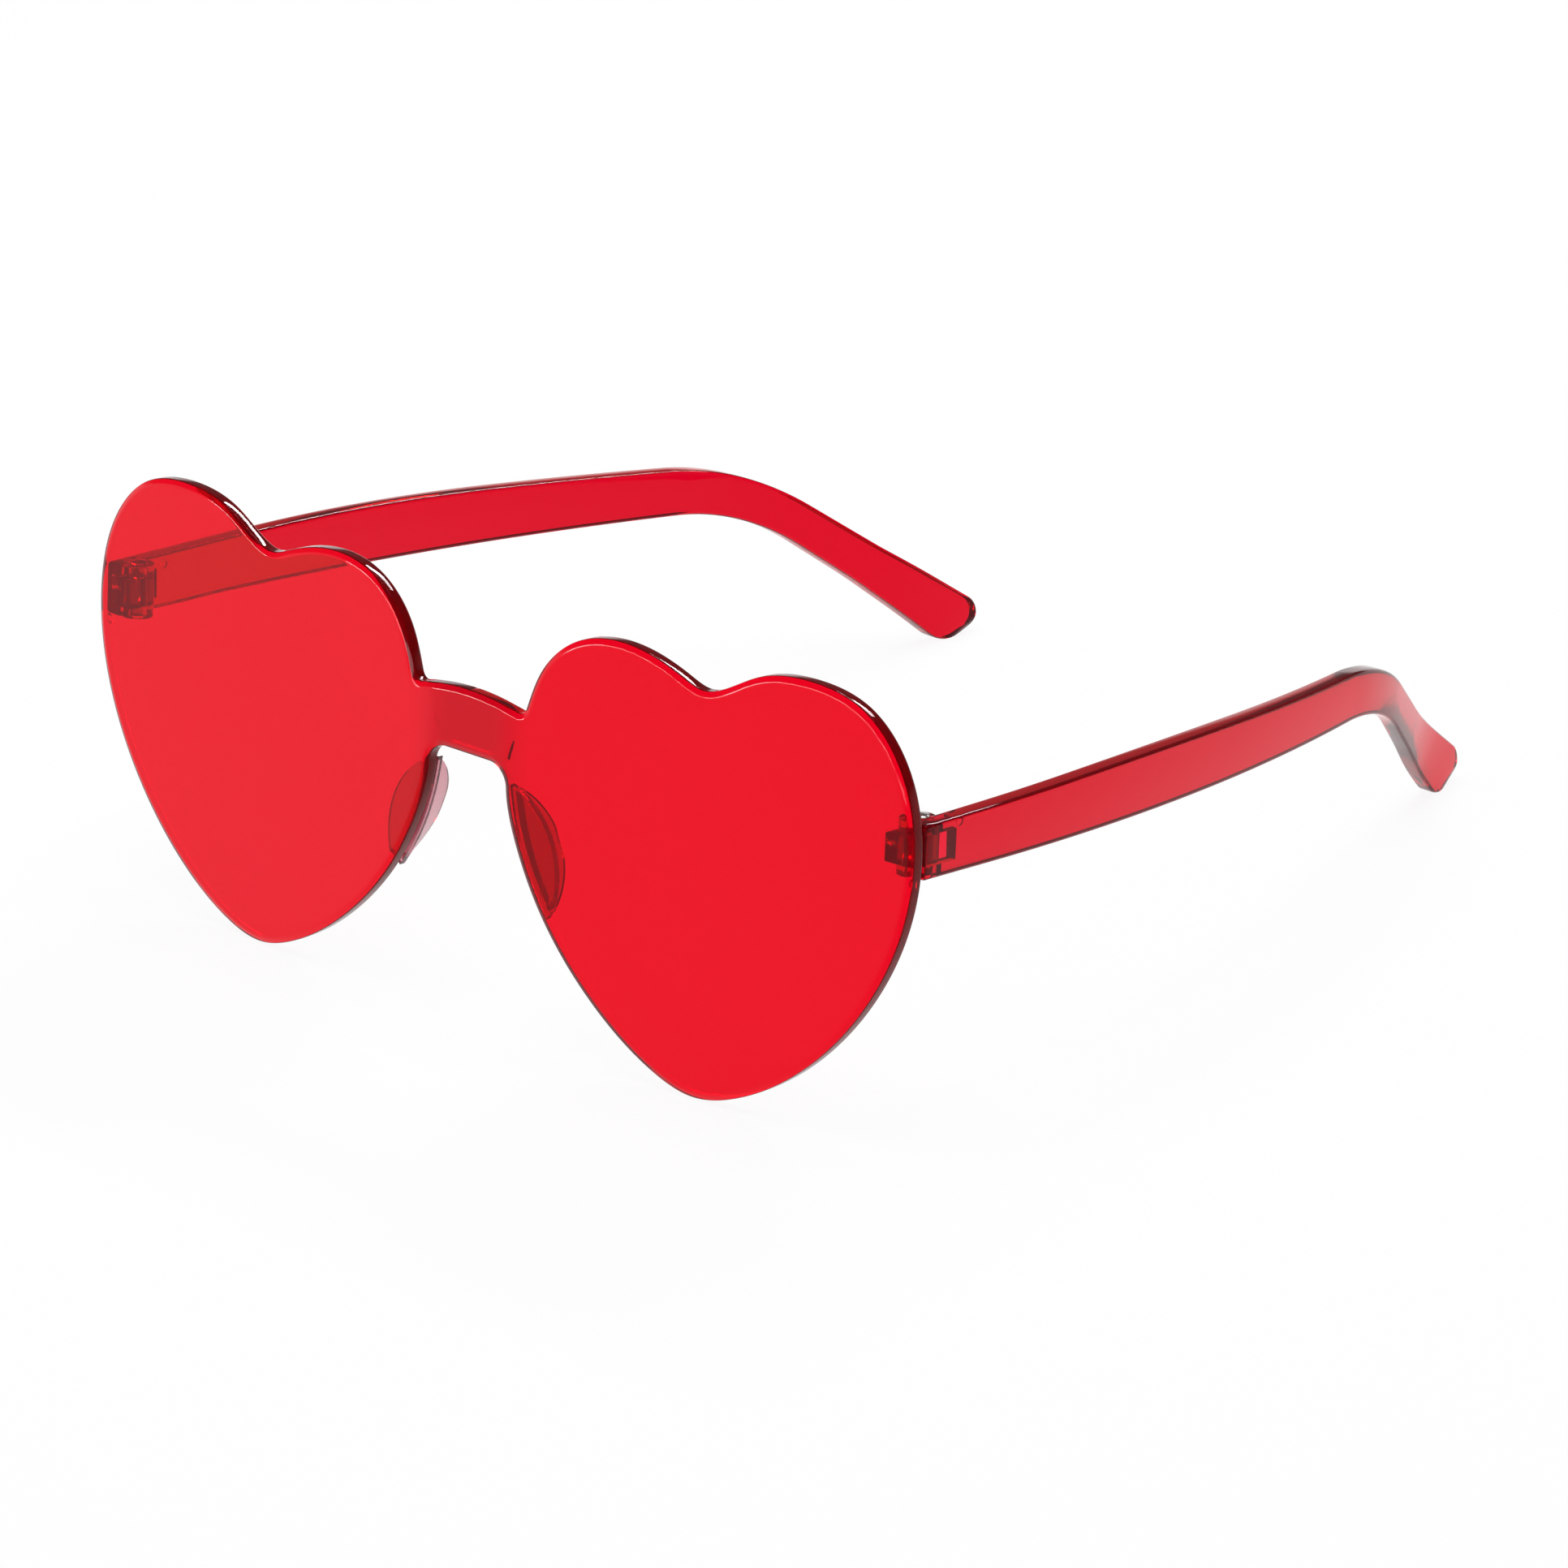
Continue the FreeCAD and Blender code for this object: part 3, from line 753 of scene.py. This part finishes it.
reach = node(bar_tree, "ShaderNodeMath", {"operation": "MAXIMUM", 1: 0.0}, {0: reach})
reach = node(bar_tree, "ShaderNodeMath", {"operation": "MULTIPLY"}, {0: reach, 1: hand})
edge = node(bar_tree, "ShaderNodeMix", {"data_type": "VECTOR"},
            {0: own["upper"], 4: own["low"], 5: own["high"]})
aside = node(bar_tree, "ShaderNodeMix", {"data_type": "VECTOR"},
             {0: own["upper"], 4: own["low_across"], 5: own["high_across"]})
inward = node(bar_tree, "ShaderNodeVectorMath", {"operation": "SCALE"}, {0: upward, "Scale": inset})
aside = node(bar_tree, "ShaderNodeVectorMath", {"operation": "SCALE"}, {0: (aside, 1), "Scale": reach})
place = node(bar_tree, "ShaderNodeVectorMath", {"operation": "ADD"}, {0: (edge, 1), 1: inward})
place = node(bar_tree, "ShaderNodeVectorMath", {"operation": "ADD"}, {0: place, 1: aside})
placed = node(bar_tree, "GeometryNodeSetPosition", {}, {"Geometry": swept, "Position": place})


def close_tree(tree, given, last):
    """End a tree: its instances made real, in the material that it is given."""
    real = node(tree, "GeometryNodeRealizeInstances", {}, {"Geometry": last})
    coloured = node(tree, "GeometryNodeSetMaterial", {}, {"Geometry": real, "Material": (given, "Material")})
    node(tree, "NodeGroupOutput", {}, {0: coloured})


close_tree(bar_tree, bar_given, placed)
print(bar_tree.name, "has", len(bar_tree.nodes), "nodes")

# %% [markdown]
# The tree runs on a plain line of edges down the middle of the right temple. Each place on that line
# carries its section's two edge places, the steps across, the pinch and the thinning as attributes. The
# result is kept as a mesh, and the attributes, which nothing needs any more, are taken off.

# %% Right temple, the bar
edge_round_steps = 5


def settle(piece):
    """Apply a piece's modifiers."""
    graph = bpy.context.evaluated_depsgraph_get()
    graph.update()
    mesh = bpy.data.meshes.new_from_object(piece.evaluated_get(graph))
    piece.modifiers.clear()
    old = piece.data
    piece.data = mesh
    bpy.data.meshes.remove(old)
    mesh.name = piece.name


def grow(piece, tree, values):
    """Run a tree on a piece with values for its named inputs, and keep the result as a plain mesh."""
    modifier = piece.modifiers.new(tree.name, "NODES")
    modifier.node_group = tree
    for item in tree.interface.items_tree:
        if item.in_out == "INPUT" and item.name in values:
            modifier[item.identifier] = values[item.name]
    piece.update_tag()
    settle(piece)


line_notes = {"low": stood(low_places), "high": stood(high_places), "low_across": leaned(low_across),
              "high_across": leaned(high_across), "pinch": pinch * MM, "thinning": thinning * MM}
spine = stood((low_places + high_places) / 2)
temples = {"right": piece_from("right_temple", spine, [], [(i, i + 1) for i in range(len(spine) - 1)])}
for name, values in line_notes.items():
    kind, field = ("FLOAT", "value") if np.ndim(values) == 1 else ("FLOAT_VECTOR", "vector")
    attribute = temples["right"].data.attributes.new(name, kind, "POINT")
    attribute.data.foreach_set(field, np.ravel(values).astype(np.float32))
grow(temples["right"], bar_tree, {"Thickness": temple_thickness * MM, "Edge Round": temple_edge_round * MM,
                                  "Round Steps": edge_round_steps, "Material": temple_red})
attributes = temples["right"].data.attributes
for name in (*line_notes, *point_notes):
    attributes.remove(attributes[name])
faced_out(temples["right"].data)
told(temples["right"])

# %% [markdown]
# The front end of each temple carries two knuckles of the hinge, moulded in one with the bar. They start as
# one round bar on the hinge axis, joined to the temple with a Boolean modifier. The bar's own sections run
# the other way, so drawing the knuckles into them would be hard.

# %% Knuckles
knuckle_radius, knuckle_trim, knuckle_sides = 2.0, 0.02, 64


def round_bar(name, start, way, length, radius, sides=48):
    """A round bar from a drawing place along X (way 0) or Z (way 2)."""
    turns = np.linspace(0, 2 * math.pi, sides, endpoint=False)
    circle = np.zeros((sides, 3))
    circle[:, (way + 1) % 3] = radius * np.cos(turns)
    circle[:, (way + 2) % 3] = radius * np.sin(turns)
    near = start + circle
    far = near + length * np.eye(3)[way]
    faces = [(i, (i + 1) % sides, sides + (i + 1) % sides, sides + i) for i in range(sides)]
    faces += [range(sides), range(sides, 2 * sides)]
    return piece_from(name, stood([*near, *far]), faces, smooth=False)


def modify(piece, kind, **settings):
    modifier = piece.modifiers.new(kind.title(), kind)
    for key, value in settings.items():
        setattr(modifier, key, value)


def combine(piece, operation, tool):
    """Join a tool to a piece or cut it out, and remove the tool."""
    modify(piece, "BOOLEAN", operation=operation, object=tool, solver="EXACT")
    settle(piece)
    mesh = tool.data
    bpy.data.objects.remove(tool)
    bpy.data.meshes.remove(mesh)


combine(temples["right"], "UNION", round_bar(
    "knuckles", (hinge_x, hinge_y, temple_base + knuckle_trim), 2, temple_hinge_depth - 2 * knuckle_trim,
    knuckle_radius, knuckle_sides))
told(temples["right"])

# %% [markdown]
# Between the knuckles a slot takes the barrel of the lug. A hole takes the screw, a recess takes its head,
# and an ejector pin left a round mark on the inner face. Boolean cuts give them crisp edges, as steel in a
# mould does. The left temple is a mirrored copy, with its faces turned round so that they point outwards
# again.

# %% Slot, screw hole and pin mark
lug_height, knuckle_gap, barrel_clearance, slot_run = 3.7, 0.12, 0.15, 3.6
screw_radius, screw_clearance, screw_head_radius, screw_head_recess = 0.7, 0.05, 1.15, 0.35
pin_mark_run, pin_mark_level, pin_mark_depth, sharp_angle = 7.3, 41.85, 0.2, math.radians(35)
slot_bottom = temple_base + (temple_hinge_depth - lug_height) / 2 - knuckle_gap
slot_height = lug_height + 2 * knuckle_gap
temple_top = temple_base + temple_hinge_depth
head_seat = temple_top - screw_head_recess
pin_mark_start = temple_middle - temple_thickness / 2 - pin_mark_depth


def brick(name, low, high):
    places = [(x, y, z) for x in (low[0], high[0]) for y in (low[1], high[1]) for z in (low[2], high[2])]
    faces = [(0, 1, 3, 2), (4, 5, 7, 6), (0, 1, 5, 4), (2, 3, 7, 6), (0, 2, 6, 4), (1, 3, 7, 5)]
    return piece_from(name, stood(places), faces, smooth=False)


def shade(piece):
    """Smooth shading, with the sharper edges kept sharp."""
    piece.data.polygons.foreach_set("use_smooth", [True] * len(piece.data.polygons))
    piece.data.set_sharp_from_angle(angle=sharp_angle)


def mirrored(name, source):
    piece = bpy.data.objects.new(name, source.data.copy())
    piece.data.transform(Matrix.Scale(-1, 4, (1, 0, 0)))
    piece.data.flip_normals()
    scene.collection.objects.link(piece)
    return piece


cutters = [
    brick("slot", (hinge_x - knuckle_radius - overrun, temple_front - overrun, slot_bottom),
          (hinge_x + knuckle_radius + barrel_clearance, hinge_y + slot_run, slot_bottom + slot_height)),
    round_bar("hole", (hinge_x, hinge_y, temple_base - overrun), 2, temple_hinge_depth + 2 * overrun,
              screw_radius + screw_clearance),
    round_bar("recess", (hinge_x, hinge_y, head_seat), 2, overrun, screw_head_radius + screw_clearance),
    round_bar("pin_mark", (pin_mark_start, temple_front + pin_mark_run, pin_mark_level), 0,
              2 * pin_mark_depth, pin_radius),
]
for cutter in cutters:
    combine(temples["right"], "DIFFERENCE", cutter)
temples["right"].data.materials.clear()
temples["right"].data.materials.append(temple_red)
shade(temples["right"])
temples["left"] = mirrored("left_temple", temples["right"])
for temple in temples.values():
    told(temple)

# %% [markdown]
# The nose pads are half-moons with a curved fin, bonded to the rear of the lenses. Their CAD solids have
# sharp corners, and moulded pads are round all over. Voxel remeshing gives a copy small even faces, and
# smoothing those rounds every corner alike. The copies are moved a little towards the nose, where the real
# pads show past the lens edge, and kept just behind the sheet so that no two faces lie in each other.

# %% Nose pads
SIDES = (("right", 1), ("left", -1))
pad_shift, bond_gap, pad_voxel, pad_smoothing, pad_smooth_rounds = 0.45, 0.02, 0.09, 0.5, 10
merge_distance = 0.001


def cad_copy(name, node_name):
    """A copy of a CAD piece with its doubled corners merged."""
    shell = bmesh.new()
    shell.from_mesh(frame["nodes"][node_name].data)
    bmesh.ops.remove_doubles(shell, verts=shell.verts, dist=merge_distance * MM)
    mesh = bpy.data.meshes.new(name)
    shell.to_mesh(mesh)
    shell.free()
    piece = bpy.data.objects.new(name, mesh)
    scene.collection.objects.link(piece)
    return piece


def drawn(places):
    """Places on the table in metres back to drawing places in millimetres."""
    x, back, up = ((np.asarray(places, float) - moved) / MM).T
    y = back * math.cos(lean) - up * math.sin(lean)
    z = up * math.cos(lean) + back * math.sin(lean)
    return np.stack([x, y, z], 1)


def soft_pad(side, sign):
    piece = cad_copy(side + "_nose_pad", "nose_pad_" + side)
    modify(piece, "REMESH", mode="VOXEL", voxel_size=pad_voxel * MM, use_smooth_shade=True)
    modify(piece, "SMOOTH", factor=pad_smoothing, iterations=pad_smooth_rounds)
    settle(piece)
    places = drawn([vertex.co for vertex in piece.data.vertices])
    places[:, 0] -= sign * pad_shift
    seat = sheet_back(np.abs(places[:, 0])) + bond_gap
    places[:, 1] = np.maximum(places[:, 1], seat)
    piece.data.vertices.foreach_set("co", stood(places).ravel())
    piece.data.materials.append(pad_pink)
    told(piece)
    return piece


pads = {side: soft_pad(side, sign) for side, sign in SIDES}

# %% [markdown]
# The hinge lugs are small blocks with a barrel, bonded to the sheet. Copies of the CAD solids get a small
# bevel, as a mould would give them. A Bevel modifier needs real edges, so the triangles of the flat faces
# are dissolved first.

# %% Hinge lugs
lug_bevel, lug_bevel_steps, lug_bevel_angle, flat_angle = 0.12, 3, math.radians(40), math.radians(1)


def bevelled_lug(side):
    piece = cad_copy(side + "_hinge_lug", "hinge_lug_" + side)
    shell = bmesh.new()
    shell.from_mesh(piece.data)
    bmesh.ops.dissolve_limit(shell, angle_limit=flat_angle, verts=shell.verts, edges=shell.edges)
    shell.to_mesh(piece.data)
    shell.free()
    modify(piece, "BEVEL", width=lug_bevel * MM, segments=lug_bevel_steps, limit_method="ANGLE",
           angle_limit=lug_bevel_angle)
    settle(piece)
    piece.data.materials.append(hinge_red)
    shade(piece)
    told(piece)
    return piece


lugs = {side: bevelled_lug(side) for side, _ in SIDES}

# %% [markdown]
# A hinge screw is turned from steel: a flat head with a sawn slot on a plain shank. One tree makes it from
# its sizes and sets it on each point that it is given, so both screws are the same thing at two places. The
# shank reaches a hair into the head, because a union of solids that only touch is uncertain.

# %% Screw tree
head_sides, shank_sides, saw_reach, saw_depth, shank_drop = 48, 32, 3.0, 2.0, -0.499
screw_tree, screw_given = open_tree("Slotted screw", {
    "Geometry": "Geometry", "Head Radius": "Float", "Head Height": "Float", "Shank Radius": "Float",
    "Shank Length": "Float", "Slot Width": "Float", "Slot Depth": "Float", "Tilt": "Vector",
    "Material": "Material"})
head = node(screw_tree, "GeometryNodeMeshCylinder", {"Vertices": head_sides},
            {"Radius": (screw_given, "Head Radius"), "Depth": (screw_given, "Head Height")})
shank = node(screw_tree, "GeometryNodeMeshCylinder", {"Vertices": shank_sides},
             {"Radius": (screw_given, "Shank Radius"), "Depth": (screw_given, "Shank Length")})
wide = node(screw_tree, "ShaderNodeMath", {"operation": "MULTIPLY", 1: saw_reach},
            {0: (screw_given, "Head Radius")})
deep = node(screw_tree, "ShaderNodeMath", {"operation": "MULTIPLY", 1: saw_depth},
            {0: (screw_given, "Slot Depth")})
saw_size = node(screw_tree, "ShaderNodeCombineXYZ", {},
                {"X": wide, "Y": (screw_given, "Slot Width"), "Z": deep})
saw = node(screw_tree, "GeometryNodeMeshCube", {}, {"Size": saw_size})
raised = []
for solid, length, share in ((head, "Head Height", 0.5), (shank, "Shank Length", shank_drop),
                             (saw, "Head Height", 1.0)):
    level = node(screw_tree, "ShaderNodeMath", {"operation": "MULTIPLY", 1: share},
                 {0: (screw_given, length)})
    shift = node(screw_tree, "ShaderNodeCombineXYZ", {}, {"Z": level})
    raised.append(node(screw_tree, "GeometryNodeTransform", {}, {"Geometry": solid, "Translation": shift}))
whole = node(screw_tree, "GeometryNodeMeshBoolean", {"operation": "UNION", "solver": "EXACT"}, {1: raised[0]})
screw_tree.links.new(raised[1].outputs[0], whole.inputs[1])
cut = node(screw_tree, "GeometryNodeMeshBoolean", {"operation": "DIFFERENCE", "solver": "EXACT"},
           {0: whole, 1: raised[2]})
spread = node(screw_tree, "GeometryNodeInstanceOnPoints", {},
              {"Points": (screw_given, "Geometry"), "Instance": cut, "Rotation": (screw_given, "Tilt")})
close_tree(screw_tree, screw_given, spread)
print(screw_tree.name, "has", len(screw_tree.nodes), "nodes")

# %% [markdown]
# Each screw grows on a single point, the middle of its head's seat, and leans with the hinge axis. A small
# bevel then takes the sharpness off its edges, so that they catch the light.

# %% Hinge screws
screw_head_height, screw_slot_width, screw_slot_depth, screw_end_recess = 0.6, 0.35, 0.25, 0.2
screw_bevel, screw_bevel_steps, screw_bevel_angle = 0.06, 2, math.radians(50)
shank_bottom = temple_base + screw_end_recess
screw_sizes = {"Head Radius": screw_head_radius, "Head Height": screw_head_height,
               "Shank Radius": screw_radius, "Shank Length": head_seat - shank_bottom,
               "Slot Width": screw_slot_width, "Slot Depth": screw_slot_depth}
screw_values = {name: size * MM for name, size in screw_sizes.items()}
screws = {}
for side, sign in SIDES:
    screw = piece_from(side + "_hinge_screw", stood([(sign * hinge_x, hinge_y, head_seat)]), [])
    grow(screw, screw_tree, {**screw_values, "Tilt": (-lean, 0.0, 0.0), "Material": steel})
    modify(screw, "BEVEL", width=screw_bevel * MM, segments=screw_bevel_steps, limit_method="ANGLE",
           angle_limit=screw_bevel_angle)
    settle(screw)
    shade(screw)
    told(screw)
    screws[side] = screw

# %% [markdown]
# Each dressed piece moves with its CAD body and stands for its CAD node. The front, the pads and the lugs
# are one body, and each temple takes its screw along when it folds.

# %% Bodies
dressed = [(front, "front", "front_shield", "front_tint")]
for side, _ in SIDES:
    dressed += [(pads[side], "front", "nose_pad_" + side, "pad_tint"),
                (lugs[side], "front", "hinge_lug_" + side, "hinge_tint"),
                (temples[side], "temple_" + side, "temple_" + side, "temple_tint"),
                (screws[side], "temple_" + side, "hinge_screw_" + side, "screw_steel")]
for piece, body, node_name, slot in dressed:
    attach(piece, body)
    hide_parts(node_name)
print(len(dressed), "dressed pieces")

# %% [markdown]
# The stage is a plain white card floor. Lit card is never quite even, and the glasses should stand on clean
# white. So where the camera sees it, in reflections and through the plastic, the floor glows an even white,
# and a small share is left to real light, so that a soft shadow stays under the glasses.

# %% Floor
floor_reach, shadow_share = 3.0, 0.08
floor_corners = [(-floor_reach, -floor_reach, 0), (floor_reach, -floor_reach, 0),
                 (floor_reach, floor_reach, 0), (-floor_reach, floor_reach, 0)]
floor = piece_from("floor", floor_corners, [(0, 1, 2, 3)])
paper, tree = new_material("White card floor")
rays = node(tree, "ShaderNodeLightPath")
looked = node(tree, "ShaderNodeMath", {"operation": "MAXIMUM"},
              {0: (rays, "Is Camera Ray"), 1: (rays, "Is Glossy Ray")})
looked = node(tree, "ShaderNodeMath", {"operation": "MAXIMUM"}, {0: looked, 1: (rays, "Is Transmission Ray")})
card = node(tree, "ShaderNodeBsdfDiffuse", {"Color": linear("#ececec")})
dim = node(tree, "ShaderNodeBsdfDiffuse", {"Color": (shadow_share, shadow_share, shadow_share, 1)})
glow = node(tree, "ShaderNodeEmission", {"Color": (1, 1, 1, 1), "Strength": 1 - shadow_share})
shown = node(tree, "ShaderNodeAddShader", {}, {0: glow, 1: dim})
both = node(tree, "ShaderNodeMixShader", {}, {0: looked, 1: card, 2: shown})
node(tree, "ShaderNodeOutputMaterial", {}, {"Surface": both})
floor.data.materials.append(paper)
told(floor)

# %% [markdown]
# The surroundings are white at the horizon, where they meet the floor, and dim above it. An all-white
# studio would light every polished face that looks up, and the red would turn milky there.

# %% Surroundings
horizon_top, dim_from, horizon_light, dim_light = 0.08, 0.17, 1.0, 0.12
world = bpy.data.worlds.new("Grey studio")
scene.world = world
world.use_nodes = True
tree = world.node_tree
tree.nodes.clear()
looking = node(tree, "ShaderNodeTexCoord")
upwards = node(tree, "ShaderNodeSeparateXYZ", {}, {0: (looking, "Generated")})
light = node(tree, "ShaderNodeMapRange",
             {"From Min": horizon_top, "From Max": dim_from, "To Min": horizon_light, "To Max": dim_light},
             {"Value": (upwards, "Z")})
sky = node(tree, "ShaderNodeBackground", {"Color": (1, 1, 1, 1)}, {"Strength": (light, "Result")})
node(tree, "ShaderNodeOutputWorld", {}, {"Surface": sky})
print("surroundings dim from %.1f degrees up" % math.degrees(math.asin(dim_from)))

# %% [markdown]
# Three soft boxes light the table. The box above makes the soft shadow under the glasses. A strip behind
# and a strip low in front show in the plastic only where a rounded rim or an edge turns towards them, as
# thin bright lines. A single large light would be simpler, but it would leave the rims without those lines.

# %% Light
# Place in metres, direction of the long side, sides in metres, and radiance
soft_boxes = {
    "strip_behind": ((-0.22, 0.764, 0.758), (1, 0, 0), (0.6, 0.07), 25),
    "strip_in_front": ((-0.5, -1.4, 0.12), (0.94, -0.34, 0), (1.6, 0.16), 25),
    "box_above": ((0, 0, 1.3), (1, 0, 0), (0.9, 0.9), 4.5),
}


def soft_box(name, place, long_way, size, radiance):
    """An area lamp that faces the glasses, with its long side along a direction."""
    lamp = bpy.data.lights.new(name, "AREA")
    lamp.shape, lamp.size, lamp.size_y = "RECTANGLE", size[0], size[1]
    lamp.energy = radiance * math.pi * size[0] * size[1]
    back = Vector(place).normalized()
    side = (Vector(long_way) - back * back.dot(Vector(long_way))).normalized()
    lit = bpy.data.objects.new(name, lamp)
    lit.matrix_world = Matrix((side, back.cross(side), back)).transposed().to_4x4()
    lit.location = place
    scene.collection.objects.link(lit)
    print(name, "of %.2f by %.2f m, %.1f W" % (size[0], size[1], lamp.energy))


for name, values in soft_boxes.items():
    soft_box(name, *values)

# %% [markdown]
# The camera stands at the front right, a little above, with a long lens that flattens the perspective. Its
# place, its direction and its focal length were fitted to the outlines in the photo.

# %% Camera
azimuth, elevation, roll = [math.radians(value) for value in (44.884, 21.976, -2.234)]
camera_place, lens_length, sensor_width = (0.83200, -0.84714, 0.48955), 223.6, 36.0
nearest, farthest = 0.05, 20.0
back = Vector((math.sin(azimuth) * math.cos(elevation), -math.cos(azimuth) * math.cos(elevation),
               math.sin(elevation)))
camera = bpy.data.objects.new("camera", bpy.data.cameras.new("camera"))
scene.collection.objects.link(camera)
camera.location = camera_place
turn = back.to_track_quat("Z", "Y").to_matrix().to_4x4()
camera.rotation_euler = (turn @ Matrix.Rotation(roll, 4, "Z")).to_euler()
camera.data.lens, camera.data.sensor_width = lens_length, sensor_width
camera.data.clip_start, camera.data.clip_end = nearest, farthest
scene.camera = camera
scene.view_settings.view_transform = "Standard"
print("camera %.2f m away, with a lens of %.1f mm" % (Vector(camera_place).length, lens_length))
